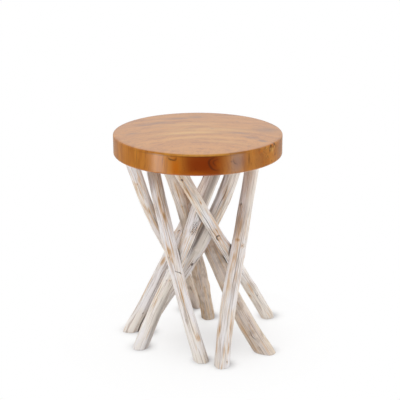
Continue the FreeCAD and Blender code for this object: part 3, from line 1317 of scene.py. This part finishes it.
LEGS = (
    BranchLeg("front_leg", seed=1, marks=(
        CleftAndShade(0.56, 0.588, -10, 70, 0.002, 0.0018, 1.0),
        CleftAndShade(0.12, 0.5, 30, -12, 0.0012, 0.0012, 0.5),
        CleftAndShade(0.55, 0.98, -20, 25, 0.0012, 0.0012, 0.45),
        # Painted shade down the right side of the upper branch.
        CleftAndShade(0.0, 0.36, 68, 0, 0.006, 0.0008, 0.4),
        Hole(0.495, -28, 0.003, 0.6),
        Scar(0.8, -24, 0.0028, 0.5),
        Rub(0.06, -40, 0.01, 0.05, -0.6),
        Rub(0.33, 0, 0.02, 0.05, 0.2),
        Rub(0.86, -20, 0.02, 0.06, -0.4),
        Rub(0.231, 4, 0.0025, 0.009, 1.0),
        Rub(0.314, -24, 0.002, 0.016, 0.5),
        Rub(0.466, -12, 0.0045, 0.0105, 1.5),
        Rub(0.51, -10, 0.003, 0.008, 1.1),
        Rub(0.65, 0, 0.002, 0.02, 0.6),
        Rub(0.7, 4, 0.003, 0.018, 0.7),
        Rub(0.756, -4, 0.003, 0.02, 0.8),
        Rub(0.891, 40, 0.0048, 0.01, 1.5),
        Rub(0.929, -8, 0.002, 0.012, 1.1),
    )),
    BranchLeg("front_right_leg", seed=2, marks=(
        CleftAndShade(0.12, 0.46, -48, 8, 0.0014, 0.0014, 0.6),
        CleftAndShade(0.5, 0.97, 8, -14, 0.0013, 0.0014, 0.45),
        # Painted shade down the left side of the upper half.
        CleftAndShade(0.05, 0.5, -72, 8, 0.006, 0.0008, 0.6),
        Hole(0.483, 16, 0.0028, 0.6),
        Hole(0.301, -44, 0.0055, 0.8),
        Hole(0.987, 28, 0.003, 0.8),
        # These two streaks are painted light: thicker, whiter wash near the top, which lies in the slab's
        # shade.
        Rub(0.05, 10, 0.03, 0.05, -0.5),
        Rub(0.2, -10, 0.03, 0.06, -0.8),
        # Partly rubbed tan wood, partly painted shade on the left side.
        Rub(0.4, -30, 0.014, 0.05, 0.6),
        Rub(0.461, -16, 0.006, 0.003, 1.1),
        Rub(0.537, -20, 0.003, 0.01, 0.9),
        Rub(0.62, 10, 0.0025, 0.03, 0.8),
        Rub(0.845, 40, 0.0045, 0.013, 1.2),
        Rub(0.853, -40, 0.004, 0.012, 1.2),
        Rub(0.938, -4, 0.003, 0.01, 0.9),
        Rub(0.938, -55, 0.0025, 0.012, 0.9),
        Rub(0.93, 32, 0.003, 0.012, 0.9),
    )),
    BranchLeg("back_right_leg", seed=3, marks=(
        CleftAndShade(0.22, 0.42, -14, 14, 0.001, 0.0016, 0.85),
        CleftAndShade(0.22, 0.46, -40, 10, 0.001, 0.0016, 0.8),
        CleftAndShade(0.55, 0.98, 10, 15, 0.0011, 0.0013, 0.6),
        CleftAndShade(0.05, 0.12, -30, 6, 0.0012, 0.001, 0.65),
        CleftAndShade(0.05, 0.3, 4, 12, 0.0011, 0.001, 0.55),
        CleftAndShade(0.03, 0.2, 30, 0, 0.005, 0.0006, 0.4),
        Hole(0.033, -16, 0.0058, 1.0),
        Scar(0.406, 10, 0.0062, 1.0),
        Hole(0.412, 12, 0.0022, 0.6),
        Hole(0.816, 32, 0.0028, 0.9),
        Hole(0.802, -36, 0.0025, 0.9),
        Burl(0.49, 80, 0.016),
        Burl(0.78, 75, 0.012),
        Burl(0.985, 85, 0.016),
        Rub(0.1, 0, 0.02, 0.03, 0.4),
        Rub(0.36, 10, 0.015, 0.03, 0.4),
        Rub(0.103, -14, 0.0042, 0.02, 1.8),
        Rub(0.186, 32, 0.0025, 0.005, 1.2),
        Rub(0.361, 32, 0.0025, 0.006, 1.2),
        Rub(0.45, 62, 0.0025, 0.04, 1.0),
    )),
    BranchLeg("front_left_leg", seed=4, marks=(
        # A real groove, widened into painted shade along the right edge, beside the leg behind.
        CleftAndShade(0.3, 0.52, 78, -20, 0.005, 0.0022, 0.9),
        CleftAndShade(0.42, 0.62, 45, 15, 0.0014, 0.0016, 0.6),
        CleftAndShade(0.66, 0.95, 35, 15, 0.0013, 0.0014, 0.55),
        # Painted shade over the upper right half of the branch.
        CleftAndShade(-0.1, 0.3, 16, 6, 0.012, 0.0004, 0.6),
        CleftAndShade(-0.06, 0.14, -66, 0, 0.003, 0.0008, 0.7),
        # Painted shade down the lower right side.
        CleftAndShade(0.62, 1.06, 40, 0, 0.012, 0.0006, 0.5),
        Bark(0.35, 14, 0.009, 0.95),
        Hole(0.331, -8, 0.002, 0.7),
        Hole(0.368, -4, 0.0022, 0.7),
        Hole(0.639, -36, 0.0025, 0.8),
        Hole(0.632, -8, 0.0025, 0.7),
        Rub(0.1, 0, 0.03, 0.08, -0.4),
        Rub(0.36, 40, 0.006, 0.02, 0.6),
        Rub(0.72, -60, 0.003, 0.03, 0.8),
        Rub(0.82, 0, 0.03, 0.11, -0.4),
    )),
    BranchLeg("inner_left_leg", seed=5, marks=(
        CleftAndShade(0.06, 0.34, -14, 8, 0.0011, 0.0018, 0.75),
        CleftAndShade(0.1, 0.3, 18, 6, 0.001, 0.0014, 0.6),
        CleftAndShade(0.12, 0.36, 4, 6, 0.0009, 0.0012, 0.5),
        CleftAndShade(0.515, 0.575, 58, -30, 0.0014, 0.0016, 0.85),
        # Painted shade down the left side of the upper branch.
        CleftAndShade(-0.05, 0.42, -72, 10, 0.006, 0.0008, 0.5),
        # Painted shade in the crevice on the left side, beside the front left leg.
        CleftAndShade(0.28, 0.6, -66, 4, 0.007, 0.001, 0.65),
        Hole(0.574, 24, 0.0062, 1.0),
        # Painted light: whiter wash on the front of the middle, which the legs in front shade.
        Rub(0.44, 0, 0.02, 0.05, -0.8),
        Rub(0.56, 72, 0.004, 0.03, -1.0),
        Rub(0.18, -2, 0.0022, 0.02, 1.0),
        Rub(0.24, 12, 0.002, 0.03, 0.6),
        Rub(0.52, 62, 0.0025, 0.04, 1.1),
    )),
    BranchLeg("inner_back_leg", seed=6, bareness=(0.35, 0.9), marks=(
        CleftAndShade(0.08, 0.3, -30, 10, 0.0011, 0.0013, 0.6),
        CleftAndShade(0.78, 0.86, 10, 40, 0.0013, 0.0014, 0.4),
        Hole(0.237, 12, 0.0028, 0.6),
        Burl(0.78, 85, 0.012),
        Burl(0.765, -85, 0.016),
        Burl(0.7, -85, 0.014),
        Rub(0.146, 8, 0.0022, 0.024, 1.0),
        Rub(0.933, -36, 0.003, 0.02, 1.0),
    )),
    BranchLeg("left_leg", seed=7, marks=(
        CleftAndShade(0.6, 0.86, 10, 20, 0.0013, 0.0016, 0.7),
        Scar(0.432, -28, 0.003, 0.8),
        Hole(0.885, 24, 0.003, 0.95),
        Burl(0.985, -88, 0.022),
        Rub(0.84, -20, 0.02, 0.06, -0.5),
        # Painted light: whiter wash on the right side, which the front left leg shades.
        Rub(0.76, 38, 0.012, 0.1, -0.9),
        Rub(0.604, -40, 0.004, 0.011, 1.3),
        Rub(0.8, -62, 0.002, 0.04, 1.0),
        Rub(0.899, -80, 0.002, 0.03, 1.2),
    )),
    BranchLeg("right_leg", seed=8, bareness=(0.9, 0.6), marks=(
        CleftAndShade(0.9, 0.955, -6, 6, 0.0014, 0.0014, 0.8),
        # Painted shade where the branch meets the inner left leg.
        CleftAndShade(0.43, 0.54, -12, 0, 0.01, 0.0004, 0.3),
        CleftAndShade(0.5, 0.8, 35, -12, 0.0012, 0.0012, 0.45),
        Hole(0.978, -4, 0.0022, 0.7),
        Burl(0.615, 90, 0.026),
        Burl(0.985, 85, 0.016),
        Rub(0.523, -16, 0.008, 0.012, 1.2),
        Rub(0.9, 62, 0.006, 0.06, -0.8),
        Rub(0.75, -40, 0.006, 0.05, 0.5),
        Rub(0.866, 86, 0.004, 0.01, 0.9),
    )),
    BranchLeg("back_leg", seed=9, bareness=(0.05, 0.6), marks=(
        # Painted shade down the right side of the upper half, which the front leg shades.
        CleftAndShade(0.08, 0.5, 68, 0, 0.005, 0.0006, 0.35),
        Hole(0.807, -4, 0.002, 0.8),
        Burl(0.73, 85, 0.022),
        Burl(0.8, 85, 0.02),
        Rub(0.1, 0, 0.02, 0.04, 0.35),
        Rub(0.8, 0, 0.02, 0.08, -0.5),
        Rub(0.102, -8, 0.002, 0.004, 1.0),
        Rub(0.224, 44, 0.006, 0.03, 0.45),
        Rub(0.272, 4, 0.003, 0.01, 1.0),
        Rub(0.354, 8, 0.003, 0.03, 0.55),
    )),
    BranchLeg("back_left_leg", seed=10, bareness=(0.4, 0.6), marks=(
        # Painted shade over the front of the upper half, which lies in the other legs' shade.
        CleftAndShade(-0.1, 0.5, 0, 0, 0.016, 0.0004, 0.75),
    )),
)

FIGURES = (
    RimPatch(DEEP_AND_SHADE, 3.5, 0.55, 0.053, 0.07, 1.0, edge=4, crest=0.94),
    # Painted highlight: a pale line along the eased upper edge at the front.
    RimPatch(PALE_AND_HIGHLIGHT, 0.0, 0.97, 0.08, 0.003, 0.5, edge=4),
    # Painted shade: deep red-brown along the bottom edge at the front.
    RimPatch(DEEP_AND_SHADE, -20.0, 0.0, 0.1, 0.003, 0.6),
    RimPatch(AMBER, -14.0, 0.36, 0.011, 0.024, 1.0),
    RimPatch(AMBER, -2.0, 0.1, 0.03, 0.006, 0.45),
    RimPatch(AMBER, 13.5, 0.5, 0.006, 0.008, 0.3),
    # Painted sheen: a purple-grey patch where the rim reflects the right lamps.
    RimPatch(DUSK_AND_SHEEN, 26.0, 0.55, 0.022, 0.03, 0.7),
    # Painted sheen: a purple-grey patch where the rim's far right edge reflects the room.
    RimPatch(DUSK_AND_SHEEN, 72.0, 0.6, 0.02, 0.03, 0.4),
    RimPatch(DUSK_AND_SHEEN, 45.0, 0.5, 0.025, 0.05, 0.22),
    RimPatch(DEEP_AND_SHADE, -40.0, 0.5, 0.03, 0.05, 0.16),
    RimPatch(DEEP_AND_SHADE, -8.0, 0.5, 0.25, 0.06, 0.16, edge=4),
    RimPatch(SWIRL, 54.0, 0.7, 0.045, 0.025, 1.0),
    RimPatch(KNOT, -43.2, 0.5, 0.0012, 0.03, 0.45),
    RimPatch(KNOT, 22.0, 0.61, 0.003, 0.002, 0.5),
    RimPatch(KNOT, 35.0, 0.6, 0.002, 0.016, 0.55),
    RimPatch(KNOT, 56.0, 0.88, 0.004, 0.004, 0.8, 0.0004),
    RimPatch(KNOT, 61.0, 0.96, 0.004, 0.003, 0.8, 0.0004),
    RimPatch(KNOT, 50.0, 0.93, 0.003, 0.003, 0.5),
    RimPatch(PALE_AND_HIGHLIGHT, 58.5, 0.71, 0.005, 0.005, 0.8),
    RimPatch(PALE_AND_HIGHLIGHT, 55.5, 0.82, 0.003, 0.004, 0.8),
    RimPatch(PALE_AND_HIGHLIGHT, 61.5, 0.84, 0.003, 0.004, 0.8),
    RimPatch(PALE_AND_HIGHLIGHT, 51.0, 0.9, 0.004, 0.003, 0.6),
    # A thin dark line painted just below the eased upper edge at the front, under the painted highlight.
    RimPatch(KNOT, -6.0, 0.895, 0.12, 0.0012, 0.55, edge=4),
    RimArc(56.0, 0.8, 0.006, 0.007, 120.0, 120.0, 0.0014, 0.9),
    RimArc(61.0, 0.78, 0.005, 0.007, 60.0, 130.0, 0.0014, 0.9),
    RimArc(26.5, 0.68, 0.011, 0.011, 215.0, 40.0, 0.0014, 0.6),
    RimArc(63.0, 0.6, 0.006, 0.009, -60.0, 110.0, 0.0013, 0.5),
    RimArc(-16.3, 0.87, 0.0095, 0.008, -90.0, 80.0, 0.0017, 0.85),
    RimArc(14.3, 0.58, 0.023, 0.018, 190.0, 70.0, 0.0018, 0.75),
    RimArc(14.6, 0.6, 0.015, 0.01, 170.0, 60.0, 0.0014, 0.55),
    RimPatch(DEEP_AND_SHADE, 172.0, 0.5, 0.33, 0.06, 0.16, edge=4),
    RimPatch(DEEP_AND_SHADE, 118.0, 0.5, 0.05, 0.07, 0.45, edge=4),
    RimPatch(DEEP_AND_SHADE, 186.0, 0.5, 0.045, 0.07, 0.7, edge=4),
    RimPatch(DEEP_AND_SHADE, 252.0, 0.5, 0.05, 0.07, 0.4, edge=4),
    RimPatch(AMBER, 203.0, 0.4, 0.014, 0.024, 0.8),
    RimPatch(DUSK_AND_SHEEN, 148.0, 0.55, 0.025, 0.03, 0.45),
    RimPatch(DUSK_AND_SHEEN, 226.0, 0.5, 0.025, 0.03, 0.5),
    RimPatch(KNOT, 137.0, 0.5, 0.0012, 0.03, 0.45),
    RimPatch(KNOT, 238.0, 0.45, 0.0012, 0.03, 0.45),
    RimArc(173.0, 0.58, 0.02, 0.016, 20.0, 75.0, 0.0016, 0.65),
    RimArc(173.5, 0.58, 0.012, 0.009, 10.0, 70.0, 0.0014, 0.5),
    RimArc(208.0, 0.85, 0.01, 0.008, -90.0, 80.0, 0.0015, 0.7),
    RimArc(105.0, 0.3, 0.016, 0.012, 80.0, 85.0, 0.0015, 0.55),
    RimArc(262.0, 0.45, 0.014, 0.012, 150.0, 75.0, 0.0015, 0.55),
    TopStreak(PALE_AND_HIGHLIGHT, -0.02, -0.004, 0.075, 0.01, 0.8),
    TopStreak(PALE_AND_HIGHLIGHT, 0.03, 0.03, 0.1, 0.012, 0.5),
    TopStreak(PALE_AND_HIGHLIGHT, 0.0, -0.045, 0.09, 0.008, 0.5),
    TopStreak(PALE_AND_HIGHLIGHT, -0.02, 0.075, 0.07, 0.012, 0.4),
    TopStreak(PALE_AND_HIGHLIGHT, 0.06, -0.085, 0.06, 0.007, 0.4),
    TopStreak(DUSK_AND_SHEEN, -0.098, 0.089, 0.03, 0.009, 0.55),
    TopStreak(DUSK_AND_SHEEN, -0.127, 0.069, 0.025, 0.008, 0.38),
    TopStreak(DUSK_AND_SHEEN, -0.052, 0.135, 0.03, 0.01, 0.44),
    TopStreak(DUSK_AND_SHEEN, -0.005, 0.148, 0.02, 0.012, 0.44),
    TopStreak(DUSK_AND_SHEEN, -0.155, -0.015, 0.02, 0.007, 0.48),
    TopStreak(DUSK_AND_SHEEN, 0.099, -0.008, 0.025, 0.008, 0.5),
    TopStreak(DUSK_AND_SHEEN, 0.123, -0.049, 0.02, 0.008, 0.45),
    TopStreak(DUSK_AND_SHEEN, 0.148, -0.081, 0.012, 0.007, 0.85),
    TopStreak(DUSK_AND_SHEEN, 0.166, 0.02, 0.03, 0.02, 0.5),
    TopStreak(DUSK_AND_SHEEN, 0.034, 0.035, 0.008, 0.003, 0.4),
    TopStreak(KNOT, 0.093, -0.135, 0.003, 0.002, 0.5),
)


def main() -> None:
    """Load the solids, build every piece and set up the studio."""
    logging.basicConfig(level=logging.INFO, format="%(name)s: %(message)s")
    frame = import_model()
    whitewash = Whitewash().material()
    branches = {leg.node: Branch(leg.node, frame["nodes"][leg.node]) for leg in LEGS}
    for leg in LEGS:
        others = [branch for node, branch in branches.items() if node != leg.node]
        leg.build(branches[leg.node], others, whitewash)
    Slab(FIGURES).build(Teak().material())
    peg_wood = WhittledWood().material()
    for node in ("crossing_pegs", "top_pegs"):
        pegs = frame["nodes"][node]
        pegs.data.materials.clear()
        pegs.data.materials.append(peg_wood)
        LOG.info("%s: kept as made", node)
    Studio(tuple(branch.foot for branch in branches.values())).build()


if __name__ == "__main__":
    main()
